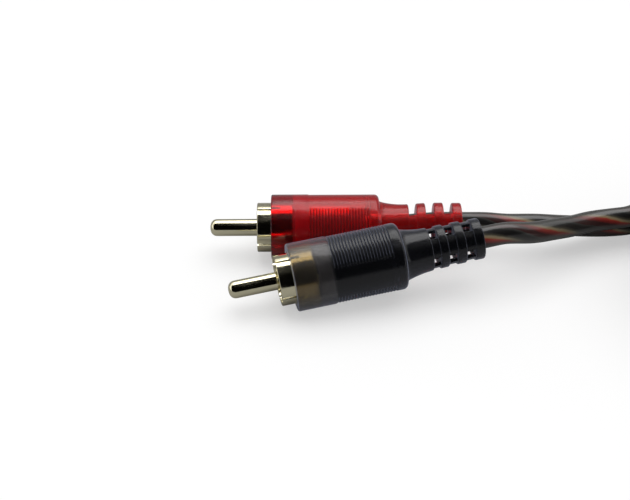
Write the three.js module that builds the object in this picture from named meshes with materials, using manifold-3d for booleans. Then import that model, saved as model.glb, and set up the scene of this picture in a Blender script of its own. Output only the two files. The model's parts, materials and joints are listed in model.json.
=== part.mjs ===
// A stereo audio lead: two moulded pin plugs at each end, red and black, on two thin twisted-pair
// cables. One end lies open on the surface, and the rest of the cable is folded into a hank that a
// strap holds, with the plugs of the other end beyond it. Millimetres, +Z up, the surface at z = 0.
import * as THREE from "three";
import { mergeVertices } from "three/addons/utils/BufferGeometryUtils.js";
import Module from "manifold-3d";

const wasm = await Module();
wasm.setup();

// Driving sizes of a plug. Lengths run along its axis from the hood's front face, towards the cable.
const PIN_RADIUS = 1.59;
const PIN_REACH = 11.4; // from the hood's front face to the tip
const PIN_SHANK_RADIUS = 0.9;
const SOLDER_TAIL = 2.6; // of the pin's shank, behind the insulator
const SHELL_RADIUS = 4.575;
const SHELL_WALL = 0.44;
const SHELL_REACH = 2.6; // in front of the hood
const SHELL_SEAT = 4.07; // behind the hood's front face
const SHELL_BASE = 0.5;
const SLOT_WIDTH = 0.5;
const SLOT_LENGTH = 4.4;
const SLOT_TURN = 20; // degrees from the tab
const TAB_WIDTH = 1.6;
const TAB_THICKNESS = 0.4;
const TAB_LENGTH = 4.9;
const INSULATOR_FLANGE = 1.6;
const INSULATOR_NECK_RADIUS = 1.75;
const INSULATOR_TAIL = 0.9; // of its neck, behind the shell's base
const CORE_RADIUS = 4.3;
const CORE_LENGTH = 14.0;
const CORE_BORE_RADIUS = 2.75;
const CORE_TAPER = 1.0;
const COLLAR_WALL = 1.4;
const COLLAR_LENGTH = 6.9;
const FRONT_EDGE = 0.3;
const BODY_STEP = 0.08; // the grip lies this much under the collar
const BODY_LENGTH = 20.0;
const SHOULDER = 0.8;
const NECK_FRONT_RADIUS = 4.7;
const NECK_REAR_RADIUS = 3.9;
const NECK_LENGTH = 5.6;
const RELIEF_END_RADIUS = 3.7;
const RIB_COUNT = 3;
const RIB_WIDTH = 2.0;
const RIB_GAP = 1.37;
const WEB_WIDTH = 2.1;
const WEB_THICKNESS = 0.4;
const WEB_TURN = -25; // degrees about the axis, from the middle of the ridged panels
const GRIP_START = 7.05;
const GRIP_PITCH = 0.55;
const GRIP_RIDGES = 20;
const GRIP_DEPTH = 0.27;
const GRIP_SPREAD = 120; // degrees round the axis, on each of the two sides

// Driving sizes of the cable, its hank and its strap
const CABLE_RADIUS = 2.0;
const WIRE_RADIUS = 0.7;
const TURN_PITCH = 4.2; // from one turn of the hank to the next, beside it or on it
const HANK_RUN = 34; // the straight between its two folds
const FOLD_RADIUS = 12; // of the innermost turn
const HANK_COLUMNS = 2;
const HANK_LAYERS = 6;
const STRAP_THICKNESS = 0.8;
const STRAP_WIDTH = 10;

// Clearances
const MOULDING_FIT = 0.13; // between a moulding and what it is moulded round
const FACE_GAP = 0.3; // between two faces that meet
const SIDE_GAP = 0.3; // between two bodies that lie against each other

// How finely round things are divided
const HOOD_SIDES = 18;
const METAL_SIDES = 16;
const PIN_SIDES = 12;
const WIRE_SIDES = 6;
const TUBE_SIDES = 8;
const CORNER_STEPS = 2;
const FOLD_STEPS = 8;

// Sizes that follow from those
const HOOD_RADIUS = SHELL_RADIUS + MOULDING_FIT + COLLAR_WALL;
const BODY_RADIUS = HOOD_RADIUS - BODY_STEP;
const NECK_END = BODY_LENGTH + NECK_LENGTH;
const PLUG_LENGTH = NECK_END + RIB_COUNT * (RIB_GAP + RIB_WIDTH);
const CORE_FRONT = SHELL_SEAT + FACE_GAP;
const CORE_REAR = CORE_FRONT + CORE_LENGTH;
const CAVITY_END = CORE_REAR + MOULDING_FIT;
const CABLE_FRONT = CORE_REAR + FACE_GAP;
const CABLE_BORE_RADIUS = CABLE_RADIUS + MOULDING_FIT;
const BASE_FRONT = SHELL_SEAT - SHELL_BASE;
const SHELL_BORE_RADIUS = SHELL_RADIUS - SHELL_WALL;
const FLANGE_REAR = BASE_FRONT - MOULDING_FIT;
const FLANGE_FRONT = FLANGE_REAR - INSULATOR_FLANGE;
const INSULATOR_END = SHELL_SEAT + INSULATOR_TAIL;
const PIN_END = INSULATOR_END + SOLDER_TAIL;
const TAB_INNER = INSULATOR_NECK_RADIUS + FACE_GAP;
const TAB_END = SHELL_SEAT + TAB_LENGTH;
const WIRE_OFFSET = WIRE_RADIUS + 0.2; // from the cable's axis, in the cable
const HANK_OUTER_FOLD = FOLD_RADIUS + (HANK_COLUMNS - 1) * TURN_PITCH;
const HANK_BASE = STRAP_THICKNESS + FACE_GAP;

const degrees = THREE.MathUtils.degToRad;

// Solids to and from triangles
function solidOf(geometry) {
  const bare = new THREE.BufferGeometry();
  bare.setAttribute("position", geometry.getAttribute("position").clone());
  if (geometry.index) bare.setIndex(geometry.index.clone());
  const merged = mergeVertices(bare, 1e-4);
  const corners = merged.getIndex().array;
  const kept = [];
  for (let i = 0; i < corners.length; i += 3) {
    const [a, b, c] = corners.slice(i, i + 3);
    if (a !== b && b !== c && c !== a) kept.push(a, b, c);
  }
  return new wasm.Manifold(new wasm.Mesh({
    numProp: 3,
    vertProperties: Float32Array.from(merged.getAttribute("position").array),
    triVerts: Uint32Array.from(kept),
  }));
}

function geometryOf(solid) {
  const mesh = solid.getMesh();
  const geometry = new THREE.BufferGeometry();
  geometry.setAttribute("position", new THREE.BufferAttribute(mesh.vertProperties, 3));
  geometry.setIndex(new THREE.BufferAttribute(mesh.triVerts, 1));
  geometry.computeVertexNormals();
  return geometry;
}

// A turned shape: [along the axis, radius] points, from the front end over the outside to the rear
function turned(profile, sides) {
  const points = profile.map(([along, radius]) => new THREE.Vector2(radius, along));
  return new THREE.LatheGeometry(points, sides).rotateZ(-Math.PI / 2);
}

function turnedRing(outside, inside, sides) {
  return turned([...outside, ...inside, outside[0]], sides);
}

function quarterRound(centreAlong, centreRadius, radius, from, to) {
  return Array.from({ length: CORNER_STEPS + 1 }, (_, i) => {
    const angle = degrees(from + (to - from) * i / CORNER_STEPS);
    return [centreAlong + radius * Math.cos(angle), centreRadius + radius * Math.sin(angle)];
  });
}

function blockFrom(low, high) {
  const size = high.map((value, i) => value - low[i]);
  const middle = high.map((value, i) => (value + low[i]) / 2);
  return new THREE.BoxGeometry(...size).translate(...middle);
}

// A round tube along a path of points, closed at both ends
function tube(points, radius, sides, steps) {
  const section = new THREE.Shape(Array.from({ length: sides }, (_, i) => {
    const angle = 2 * Math.PI * (i + 0.5) / sides;
    return new THREE.Vector2(radius * Math.cos(angle), radius * Math.sin(angle));
  }));
  const path = new THREE.CatmullRomCurve3(points.map((point) => new THREE.Vector3(...point)));
  return new THREE.ExtrudeGeometry(section, { steps, extrudePath: path });
}

// The plug's pieces, each along +X with the hood's front face at x = 0
function centrePin() {
  const tip = quarterRound(PIN_RADIUS - PIN_REACH, 0, PIN_RADIUS, 180, 90);
  return turned([
    ...tip,
    [FLANGE_FRONT - MOULDING_FIT, PIN_RADIUS],
    [FLANGE_FRONT - MOULDING_FIT, PIN_SHANK_RADIUS],
    [PIN_END, PIN_SHANK_RADIUS],
    [PIN_END, 0],
  ], PIN_SIDES);
}

function pinInsulator() {
  const bore = PIN_SHANK_RADIUS + MOULDING_FIT;
  const flange = SHELL_BORE_RADIUS - MOULDING_FIT;
  return turnedRing([
    [FLANGE_FRONT, flange],
    [FLANGE_REAR, flange],
    [FLANGE_REAR, INSULATOR_NECK_RADIUS],
    [INSULATOR_END, INSULATOR_NECK_RADIUS],
  ], [
    [INSULATOR_END, bore],
    [FLANGE_FRONT, bore],
  ], PIN_SIDES);
}

function groundShell() {
  const cup = solidOf(turnedRing([
    [-SHELL_REACH, SHELL_RADIUS - SHELL_WALL / 2],
    [SHELL_WALL / 2 - SHELL_REACH, SHELL_RADIUS],
    [SHELL_SEAT, SHELL_RADIUS],
  ], [
    [SHELL_SEAT, INSULATOR_NECK_RADIUS + MOULDING_FIT],
    [BASE_FRONT, INSULATOR_NECK_RADIUS + MOULDING_FIT],
    [BASE_FRONT, SHELL_BORE_RADIUS],
    [-SHELL_REACH, SHELL_BORE_RADIUS],
  ], METAL_SIDES));
  const tab = solidOf(blockFrom(
    [SHELL_SEAT - SHELL_BASE / 2, -TAB_WIDTH / 2, TAB_INNER],
    [TAB_END, TAB_WIDTH / 2, TAB_INNER + TAB_THICKNESS],
  ));
  const slot = blockFrom(
    [-SHELL_REACH - SLOT_WIDTH, -SHELL_RADIUS - 1, -SLOT_WIDTH / 2],
    [SLOT_LENGTH - SHELL_REACH, SHELL_RADIUS + 1, SLOT_WIDTH / 2],
  );
  const slots = [SLOT_TURN, SLOT_TURN + 90].map((turn) => solidOf(slot.clone().rotateX(degrees(turn))));
  return geometryOf(cup.subtract(slots[0]).subtract(slots[1]).add(tab));
}

function innerMould() {
  return turnedRing([
    [CORE_FRONT, CORE_RADIUS],
    [CORE_REAR - CORE_TAPER, CORE_RADIUS],
    [CORE_REAR, CORE_RADIUS - CORE_TAPER],
  ], [
    [CORE_REAR, CORE_BORE_RADIUS],
    [CORE_FRONT, CORE_BORE_RADIUS],
  ], HOOD_SIDES);
}

// The grip's ridges run round the two sides where the mould parts, and leave two plain panels
function gripGrooves() {
  const top = BODY_RADIUS - BODY_STEP / 4;
  const outer = HOOD_RADIUS + 1;
  const teeth = Array.from({ length: GRIP_RIDGES }, (_, i) => {
    const along = GRIP_START + i * GRIP_PITCH;
    return [[along, top], [along + GRIP_PITCH / 2, top - GRIP_DEPTH]];
  }).flat();
  const end = [GRIP_START + GRIP_RIDGES * GRIP_PITCH, top];
  const ring = solidOf(turnedRing(
    [[GRIP_START, outer], [end[0], outer]],
    [end, ...teeth.reverse()],
    HOOD_SIDES,
  ));
  const reach = 2 * HOOD_RADIUS;
  const half = degrees(GRIP_SPREAD / 2);
  const wedge = new THREE.Shape([
    new THREE.Vector2(0, 0),
    new THREE.Vector2(reach * Math.cos(half), -reach * Math.sin(half)),
    new THREE.Vector2(reach, 0),
    new THREE.Vector2(reach * Math.cos(half), reach * Math.sin(half)),
  ]);
  const side = new THREE.ExtrudeGeometry(wedge, { depth: BODY_LENGTH, bevelEnabled: false });
  side.rotateY(Math.PI / 2);
  const sides = [90, -90].map((turn) => solidOf(side.clone().rotateX(degrees(turn))));
  return ring.intersect(sides[0].add(sides[1]));
}

// Openings between the strain relief's ribs: two webs on the parting line, clear of the cable, are
// all that joins them
function reliefWindows(hasThinWebs) {
  const reach = NECK_REAR_RADIUS + 1;
  const webInner = RELIEF_END_RADIUS - WEB_THICKNESS;
  const blocks = [];
  for (let i = 0; i < RIB_COUNT; i += 1) {
    const start = NECK_END + i * (RIB_GAP + RIB_WIDTH);
    for (const side of [-1, 1]) {
      const ends = [side * WEB_WIDTH / 2, side * reach].sort((a, b) => a - b);
      blocks.push(solidOf(blockFrom([start, -reach, ends[0]], [start + RIB_GAP, reach, ends[1]])));
    }
    if (hasThinWebs) {
      const end = start + RIB_GAP;
      blocks.push(solidOf(turned([[start, 0], [start, webInner], [end, webInner], [end, 0]], HOOD_SIDES)));
    }
  }
  return blocks.map((block) => block.rotate([WEB_TURN, 0, 0]));
}

function hood(isFine) {
  const pocket = SHELL_RADIUS + MOULDING_FIT;
  const cavity = CORE_RADIUS + MOULDING_FIT;
  const pocketEnd = SHELL_SEAT + MOULDING_FIT;
  const shoulder = quarterRound(BODY_LENGTH - SHOULDER, BODY_RADIUS - SHOULDER, SHOULDER, 90, 0);
  let moulding = solidOf(turnedRing([
    [0, HOOD_RADIUS - FRONT_EDGE],
    [FRONT_EDGE, HOOD_RADIUS],
    [COLLAR_LENGTH, HOOD_RADIUS],
    [COLLAR_LENGTH + BODY_STEP, BODY_RADIUS],
    ...shoulder,
    [BODY_LENGTH, NECK_FRONT_RADIUS],
    [NECK_END, NECK_REAR_RADIUS],
    [PLUG_LENGTH, RELIEF_END_RADIUS],
  ], [
    [PLUG_LENGTH, CABLE_BORE_RADIUS],
    [CAVITY_END, CABLE_BORE_RADIUS],
    [CAVITY_END, cavity],
    [pocketEnd, cavity],
    [pocketEnd, pocket],
    [0, pocket],
  ], HOOD_SIDES));
  if (isFine) moulding = moulding.subtract(gripGrooves());
  for (const block of reliefWindows(isFine)) moulding = moulding.subtract(block);
  return geometryOf(moulding);
}

function signalWire() {
  const start = PIN_END + FACE_GAP;
  const end = CABLE_FRONT - FACE_GAP;
  return tube([
    [start, 0, 0],
    [start + (end - start) * 0.4, 0, -WIRE_OFFSET * 0.25],
    [start + (end - start) * 0.75, 0, -WIRE_OFFSET * 0.9],
    [end, 0, -WIRE_OFFSET],
  ], WIRE_RADIUS, WIRE_SIDES, 5);
}

function groundWire() {
  const start = TAB_END + FACE_GAP;
  const end = CABLE_FRONT - FACE_GAP;
  const height = TAB_INNER - FACE_GAP;
  return tube([
    [start, 0, height],
    [start + (end - start) * 0.4, 0, (height + WIRE_OFFSET) / 2 + 0.2],
    [start + (end - start) * 0.75, 0, WIRE_OFFSET + 0.1],
    [end, 0, WIRE_OFFSET],
  ], WIRE_RADIUS, WIRE_SIDES, 5);
}

function cableEnd() {
  const rear = PLUG_LENGTH + FACE_GAP;
  return turned([
    [CABLE_FRONT, 0],
    [CABLE_FRONT, CABLE_RADIUS],
    [rear, CABLE_RADIUS],
    [rear, 0],
  ], PIN_SIDES);
}

// Finishes
const gold = new THREE.MeshStandardMaterial({ color: 0xd8c48a, roughness: 0.18, metalness: 1 });
const redVinyl = new THREE.MeshStandardMaterial({ color: 0xb3202a, roughness: 0.35, metalness: 0 });
const smokeVinyl = new THREE.MeshStandardMaterial({ color: 0x3c3f44, roughness: 0.35, metalness: 0 });
const blackNylon = new THREE.MeshStandardMaterial({ color: 0x17161a, roughness: 0.5, metalness: 0 });
const paleCore = new THREE.MeshStandardMaterial({ color: 0xcfcac0, roughness: 0.6, metalness: 0 });
const redSkin = new THREE.MeshStandardMaterial({ color: 0xa8322b, roughness: 0.45, metalness: 0 });
const darkSkin = new THREE.MeshStandardMaterial({ color: 0x2b2b2d, roughness: 0.45, metalness: 0 });
const jacket = new THREE.MeshStandardMaterial({ color: 0x6b6460, roughness: 0.3, metalness: 0 });
const strapWeave = new THREE.MeshStandardMaterial({ color: 0x1c1c1e, roughness: 0.9, metalness: 0 });

function named(name, geometry, material) {
  const mesh = new THREE.Mesh(geometry, material);
  mesh.name = name;
  return mesh;
}

const pieces = {
  ground_shell: groundShell(),
  center_pin: centrePin(),
  pin_insulator: pinInsulator(),
  inner_mould: innerMould(),
  signal_wire: signalWire(),
  ground_wire: groundWire(),
  cable_end: cableEnd(),
};

// The fine ridges and thin webs are cut on the two plugs that lie open, and the others are left plain
const fineHood = hood(true);
const plainHood = hood(false);

function plug(name, vinyl, hoodGeometry) {
  const finishes = {
    hood: vinyl,
    ground_shell: gold,
    center_pin: gold,
    pin_insulator: blackNylon,
    inner_mould: paleCore,
    signal_wire: redSkin,
    ground_wire: darkSkin,
    cable_end: jacket,
  };
  const group = new THREE.Group();
  for (const [piece, geometry] of Object.entries({ hood: hoodGeometry, ...pieces })) {
    group.add(named(`${name}_${piece}`, geometry, finishes[piece]));
  }
  return group;
}

// A plug's place: where its hood's front centre is, and its roll, rise and yaw in degrees. The rise
// lifts the cable end, and a plug that rises stands on the front edge of its hood.
function place(group, front, roll, rise, yaw) {
  group.position.set(...front);
  group.rotation.set(degrees(roll), degrees(-rise), degrees(yaw), "ZYX");
  group.updateMatrixWorld(true);
  return group;
}

function frontHeight(rise) {
  return HOOD_RADIUS * Math.cos(degrees(rise)) - FRONT_EDGE * Math.sin(degrees(rise));
}

// The red plug lies flat. The black plug stands on its front edge and leans on the red one's body.
const RED_ROLL = -9;
const RED_YAW = 0.6;
const BLACK_ROLL = 80;
const BLACK_RISE = 6;
const BLACK_YAW = 11.4;
const BLACK_AHEAD = 4.0; // its front lies this much further along X than the red one's
const LEAN_POINT = BODY_LENGTH - SHOULDER;

function blackFront() {
  const height = frontHeight(BLACK_RISE);
  const along = LEAN_POINT * Math.cos(degrees(BLACK_RISE));
  const leanX = BLACK_AHEAD + along * Math.cos(degrees(BLACK_YAW));
  const redY = leanX * Math.tan(degrees(RED_YAW));
  const above = height + LEAN_POINT * Math.sin(degrees(BLACK_RISE)) - HOOD_RADIUS;
  const beside = Math.sqrt((2 * HOOD_RADIUS + SIDE_GAP) ** 2 - above ** 2);
  return [BLACK_AHEAD, redY - beside - along * Math.sin(degrees(BLACK_YAW)), height];
}

const redPlug = place(plug("red", redVinyl, fineHood), [0, 0, HOOD_RADIUS], RED_ROLL, 0, RED_YAW);
const blackPlug = place(plug("black", smokeVinyl, fineHood), blackFront(), BLACK_ROLL, BLACK_RISE, BLACK_YAW);

// The hank lies in line with the plugs, its long way along X. The far plugs lie past its far fold.
const HANK_NEAR_X = 89.5;
const HANK_Y = -8;
const HANK_FAR_X = HANK_NEAR_X + HANK_RUN;
const FAR_TIP_AHEAD = 34; // from the far fold's centre to the far plugs' strain reliefs
const FAR_RISE = 7;
const FAR_ROLL = 90;
const FAR_MIDDLE_Y = -4.2;

const farX = HANK_FAR_X + FAR_TIP_AHEAD + PLUG_LENGTH * Math.cos(degrees(FAR_RISE));
const farSide = HOOD_RADIUS + SIDE_GAP / 2;
const farHeight = frontHeight(FAR_RISE);

function farPlug(name, vinyl, side) {
  return place(
    plug(name, vinyl, plainHood), [farX, FAR_MIDDLE_Y + side * farSide, farHeight], FAR_ROLL, FAR_RISE, 180,
  );
}

const farRed = farPlug("far_red", redVinyl, -1);
const farBlack = farPlug("far_black", smokeVinyl, 1);

function hank() {
  const outer = HANK_OUTER_FOLD + TURN_PITCH / 2;
  const inner = FOLD_RADIUS - TURN_PITCH / 2;
  const outline = new THREE.Shape();
  outline.absarc(HANK_FAR_X, HANK_Y, outer, -Math.PI / 2, Math.PI / 2, false);
  outline.absarc(HANK_NEAR_X, HANK_Y, outer, Math.PI / 2, 3 * Math.PI / 2, false);
  const opening = new THREE.Path();
  opening.absarc(HANK_FAR_X, HANK_Y, inner, -Math.PI / 2, Math.PI / 2, false);
  opening.absarc(HANK_NEAR_X, HANK_Y, inner, Math.PI / 2, 3 * Math.PI / 2, false);
  outline.holes.push(opening);
  const depth = HANK_LAYERS * TURN_PITCH;
  const options = { depth, bevelEnabled: false, curveSegments: FOLD_STEPS };
  return new THREE.ExtrudeGeometry(outline, options).translate(0, 0, HANK_BASE);
}

// A flat strap round the waist of the hank
function strapOutline(across, high, corner) {
  const corners = [[1, 1, 0], [-1, 1, 90], [-1, -1, 180], [1, -1, 270]];
  return corners.flatMap(([x, y, from]) => quarterRound(
    x * (across - corner), y * (high - corner), corner, from, from + 90,
  ).map(([u, v]) => new THREE.Vector2(u, v)));
}

function strap() {
  const across = HANK_OUTER_FOLD + TURN_PITCH / 2 + FACE_GAP;
  const high = HANK_LAYERS * TURN_PITCH / 2 + FACE_GAP;
  const corner = FACE_GAP + STRAP_THICKNESS;
  const outline = new THREE.Shape(strapOutline(across + STRAP_THICKNESS, high + STRAP_THICKNESS, corner));
  outline.holes.push(new THREE.Path(strapOutline(across, high, FACE_GAP)));
  const band = new THREE.ExtrudeGeometry(outline, { depth: STRAP_WIDTH, bevelEnabled: false });
  band.translate(0, 0, -STRAP_WIDTH / 2).rotateX(Math.PI / 2).rotateZ(Math.PI / 2);
  const middle = HANK_BASE + HANK_LAYERS * TURN_PITCH / 2;
  return band.translate(HANK_NEAR_X + HANK_RUN / 2, HANK_Y, middle);
}

// The cables' routes between the plugs and the hank, as chosen points
const RED_LEAD = [
  [44, 0.7, 6.3],
  [50, 1.6, 5.7],
  [56, 3.1, 4.4],
  [62, 4.9, 3.0],
  [68, 6.4, 2.4],
  [72, 7.3, 2.6],
  [76.7, 7.9, 3.2],
];
const BLACK_LEAD = [
  [48, -5.7, 8.8],
  [52, -3.3, 7.9],
  [56, -1.0, 7.1],
  [60, 1.2, 6.6],
  [64, 2.6, 6.3],
  [68, 3.7, 6.3],
  [72, 6.2, 6.8],
  [76.7, 8.8, 7.4],
];
const RED_TAIL = [
  [144.3, -5.7, 11.5],
  [148.5, -9.0, 11.2],
];
const BLACK_TAIL = [
  [140.2, 3.7, 15.1],
  [145, 2.6, 13.6],
  [149, 2.1, 11.9],
];

// The cable leaves a plug straight: its first two points lie on the plug's axis
const OUT_OF_RELIEF = 2 * FACE_GAP;
const STRAIGHT_RUN = 4.5;

function exitPoints(group) {
  const out = [OUT_OF_RELIEF, STRAIGHT_RUN];
  return out.map((along) => {
    return new THREE.Vector3(PLUG_LENGTH + along, 0, 0).applyMatrix4(group.matrixWorld).toArray();
  });
}

function leadTube(group, route, steps) {
  return tube([...exitPoints(group), ...route], CABLE_RADIUS, TUBE_SIDES, steps);
}

function tailTube(group, route, steps) {
  return tube([...route, ...exitPoints(group).reverse()], CABLE_RADIUS, TUBE_SIDES, steps);
}

const assembly = new THREE.Group();
assembly.add(redPlug, blackPlug, farRed, farBlack);
assembly.add(named("hank", hank(), jacket));
assembly.add(named("hank_strap", strap(), strapWeave));
assembly.add(named("red_lead", leadTube(redPlug, RED_LEAD, 8), jacket));
assembly.add(named("black_lead", leadTube(blackPlug, BLACK_LEAD, 8), jacket));
assembly.add(named("red_tail", tailTube(farRed, RED_TAIL, 4), jacket));
assembly.add(named("black_tail", tailTube(farBlack, BLACK_TAIL, 5), jacket));

// The origin is the bottom centre of the two plugs that lie open
const open = new THREE.Box3().setFromObject(redPlug, true).expandByObject(blackPlug, true);
const centre = open.getCenter(new THREE.Vector3());
assembly.position.set(-centre.x, -centre.y, -open.min.z);

export default assembly;
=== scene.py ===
# %% [markdown]
# # A stereo phono lead
#
# Two soft moulded plugs, one red and one smoke, lie on a white table. Their slim twisted-pair
# cables cross, run out of the picture, and are folded into a strapped hank with the other two
# plugs past it. The solid model gives the places and sizes. This lesson gives each piece its fine
# surface and its finish: frosted vinyl that lets the plated shell show, bright pale gold, and a
# clear smoky jacket over red and dark wires.

# %% Load the solid model
import json
import math

import bmesh
import bpy
import numpy as np
from mathutils import Matrix, Vector

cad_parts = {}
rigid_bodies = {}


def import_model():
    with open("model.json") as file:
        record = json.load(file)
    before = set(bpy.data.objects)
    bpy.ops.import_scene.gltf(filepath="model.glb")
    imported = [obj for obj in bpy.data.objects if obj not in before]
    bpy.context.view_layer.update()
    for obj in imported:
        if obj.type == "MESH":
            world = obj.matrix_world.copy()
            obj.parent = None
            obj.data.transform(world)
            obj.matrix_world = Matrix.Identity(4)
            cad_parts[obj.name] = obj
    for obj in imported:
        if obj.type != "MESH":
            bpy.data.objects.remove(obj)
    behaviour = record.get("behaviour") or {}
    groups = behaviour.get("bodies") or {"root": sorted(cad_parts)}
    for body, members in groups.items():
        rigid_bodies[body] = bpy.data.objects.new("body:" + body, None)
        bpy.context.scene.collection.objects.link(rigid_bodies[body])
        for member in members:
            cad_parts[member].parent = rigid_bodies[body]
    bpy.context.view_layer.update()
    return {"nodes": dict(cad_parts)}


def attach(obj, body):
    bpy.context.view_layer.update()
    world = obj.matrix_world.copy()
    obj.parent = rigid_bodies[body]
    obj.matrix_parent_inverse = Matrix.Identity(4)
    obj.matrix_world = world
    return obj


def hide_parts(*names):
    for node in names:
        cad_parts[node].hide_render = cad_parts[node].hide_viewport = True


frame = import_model()
MM = 0.001
print("solid nodes:", len(frame["nodes"]))

# %% [markdown]
# ## Where the plugs lie
#
# Each plug is modelled once along the X axis, with the front face of its hood at X = 0 and its
# cable leaving towards +X. A plug's place is the point where that front face lands, with a roll
# about its own axis, a rise that lifts the cable end, and a yaw seen from above. They are the
# places of the solids, in millimetres and degrees. The strain reliefs are soft: the red one leans
# a little where its cable pushes it, and the smoke one is pressed a little shorter.

# %% The plugs' places
PLUGS = {
    "red": {"front": (-14.119, 7.763, 6.105), "roll": -9, "rise": 0, "yaw": 0.6},
    "black": {"front": (-10.119, -8.131, 6.040), "roll": 80, "rise": 6, "yaw": 11.4},
    "far_red": {"front": (178.825, -2.692, 6.023), "roll": 90, "rise": 7, "yaw": 180},
    "far_black": {"front": (178.825, 9.818, 6.023), "roll": 90, "rise": 7, "yaw": 180},
}


def plug_matrix(plug):
    """The move that takes a piece from the plug's own axis to its place, in metres."""
    place = PLUGS[plug]
    turn = (
        Matrix.Rotation(math.radians(place["yaw"]), 4, "Z")
        @ Matrix.Rotation(math.radians(-place["rise"]), 4, "Y")
        @ Matrix.Rotation(math.radians(place["roll"]), 4, "X")
    )
    return Matrix.Translation(Vector(place["front"]) * MM) @ turn


def on_axis(plug, along):
    """A point on a plug's axis, this many millimetres from its front face."""
    return plug_matrix(plug) @ Vector((along * MM, 0, 0))


LEANS = {"red": Vector((-0.25, 0.5, 0.45)) * MM, "black": Vector((-0.9, 0, 0)) * MM}
LEAN_FROM = 19  # where a soft relief starts to give, and where it has given all it does
LEAN_FULL = 31


def eased(share):
    """0 to 1 with a gentle start and end."""
    share = min(max(share, 0.0), 1.0)
    return share * share * (3 - 2 * share)


def leaning(plug, along):
    """A point on the middle of a plug, with the lean of its soft relief."""
    share = (along - LEAN_FROM) / (LEAN_FULL - LEAN_FROM)
    return on_axis(plug, along) + LEANS.get(plug, Vector()) * eased(share)


for plug in PLUGS:
    print(plug, "front", [round(v, 4) for v in on_axis(plug, 0)])

# %% [markdown]
# ## The camera
#
# The photograph is 630 by 500 pixels, and looks down at the table by about 35 degrees from a
# quarter of a metre away. The red hood's front face shows left of the middle, at a scale of 5.35
# pixels to a millimetre. The camera is placed back from that point, so the picture frames itself.

# %% The camera
PICTURE = (630, 500)
RED_FRONT_PIXEL = (271.5, 227.3)
PIXELS_PER_MM = 5.35
LOOK_DOWN = 35
DISTANCE_MM = 240
SENSOR_MM = 36


def add_camera():
    """A camera that sees the red hood's front face at its pixel, at the photograph's angle."""
    down = math.radians(LOOK_DOWN)
    ahead = Vector((0, math.cos(down), -math.sin(down)))
    upward = Vector((0, math.sin(down), math.cos(down)))
    focal = PIXELS_PER_MM * DISTANCE_MM
    right = (RED_FRONT_PIXEL[0] - PICTURE[0] / 2) / focal
    above = (PICTURE[1] / 2 - RED_FRONT_PIXEL[1]) / focal
    back = ahead + Vector((right, 0, 0)) + upward * above
    bpy.ops.object.camera_add(
        location=on_axis("red", 0) - back * DISTANCE_MM * MM,
        rotation=(math.radians(90 - LOOK_DOWN), 0, 0),
    )
    camera = bpy.context.object
    camera.name = "camera"
    camera.data.sensor_width = SENSOR_MM
    camera.data.lens = focal / PICTURE[0] * SENSOR_MM
    camera.data.clip_start = 0.01
    bpy.context.scene.camera = camera
    return camera


camera = add_camera()
print("camera lens, mm:", round(camera.data.lens, 1))

# %% [markdown]
# ## The cables' routes
#
# A cable is a real length of something springy, so its route comes before its surface. Each one
# starts inside its plug, leaves straight, sinks to the table or rides over the other cable, and
# goes into the hank. A hank is one racetrack path walked several times. It steps inwards, up and
# outwards again in turn, and each step starts a seventh of a turn earlier than the last, so that
# no two turns meet. The smoke plug's cable lies on top of the red plug's all the way round.

# %% Route sizes
CABLE_RADIUS = 2.0
CABLE_FRONT = 18.67  # where the jacket ends, inside the plug
PLUG_LENGTH = 35.71
STRAIGHT_RUN = 4.5
SHIFT = Vector((-14.119, 7.763, 0))  # from the red hood's foot to the model's origin
TURN_PITCH = 4.2
HANK_NEAR_X = 89.5
HANK_RUN = 34
HANK_Y = -8
FOLD_RADIUS = 12
HANK_BASE = 1.1
STEP_SHARE = 0.14  # of a turn
TURN_SAMPLE = 0.03
LAST_TURN = {"red": 5.288, "black": 5.249}
LINE_STEP = 1.0
# places along a plug that its cable goes through
HELD_AT = (CABLE_FRONT, 24, 30, PLUG_LENGTH, PLUG_LENGTH + STRAIGHT_RUN)

RED_LEAD = [
    (44, 0.7, 6.3), (50, 1.6, 5.7), (56, 3.1, 4.4), (62, 4.9, 3.0), (68, 6.4, 2.4),
    (72, 7.3, 2.6), (76.7, 7.9, 3.2),
]
BLACK_LEAD = [
    (48, -5.7, 8.8), (52, -3.3, 7.9), (56, -1.0, 7.1), (60, 1.2, 6.6), (64, 2.6, 6.3),
    (68, 3.7, 6.3), (72, 6.2, 6.8), (76.7, 8.8, 7.4),
]
RED_TAIL = [(144.3, -5.7, 11.5), (148.5, -9.0, 11.2)]
BLACK_TAIL = [(140.2, 3.7, 15.1), (145, 2.6, 13.6), (149, 2.1, 11.9)]


def hank_point(turns, lift):
    """The point of the hank this many turns in, in millimetres."""
    steps = [eased((turns - (k + 1) * (1 - STEP_SHARE)) / STEP_SHARE) for k in range(5)]
    radius = FOLD_RADIUS + TURN_PITCH * (1 - steps[0] + steps[3])
    height = HANK_BASE + TURN_PITCH * (0.5 + 2 * (steps[1] + steps[2] - steps[4])) + lift
    fold = math.pi * (FOLD_RADIUS + TURN_PITCH / 2)
    along = (turns % 1) * 2 * (HANK_RUN + fold)
    far_x = HANK_NEAR_X + HANK_RUN
    if along < HANK_RUN:
        return (HANK_NEAR_X + along, HANK_Y + radius, height)
    if along < HANK_RUN + fold:
        angle = math.pi / 2 - math.pi * (along - HANK_RUN) / fold
        return (far_x + radius * math.cos(angle), HANK_Y + radius * math.sin(angle), height)
    if along < 2 * HANK_RUN + fold:
        return (far_x - (along - HANK_RUN - fold), HANK_Y - radius, height)
    angle = -math.pi / 2 - math.pi * (along - 2 * HANK_RUN - fold) / fold
    return (HANK_NEAR_X + radius * math.cos(angle), HANK_Y + radius * math.sin(angle), height)


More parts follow.
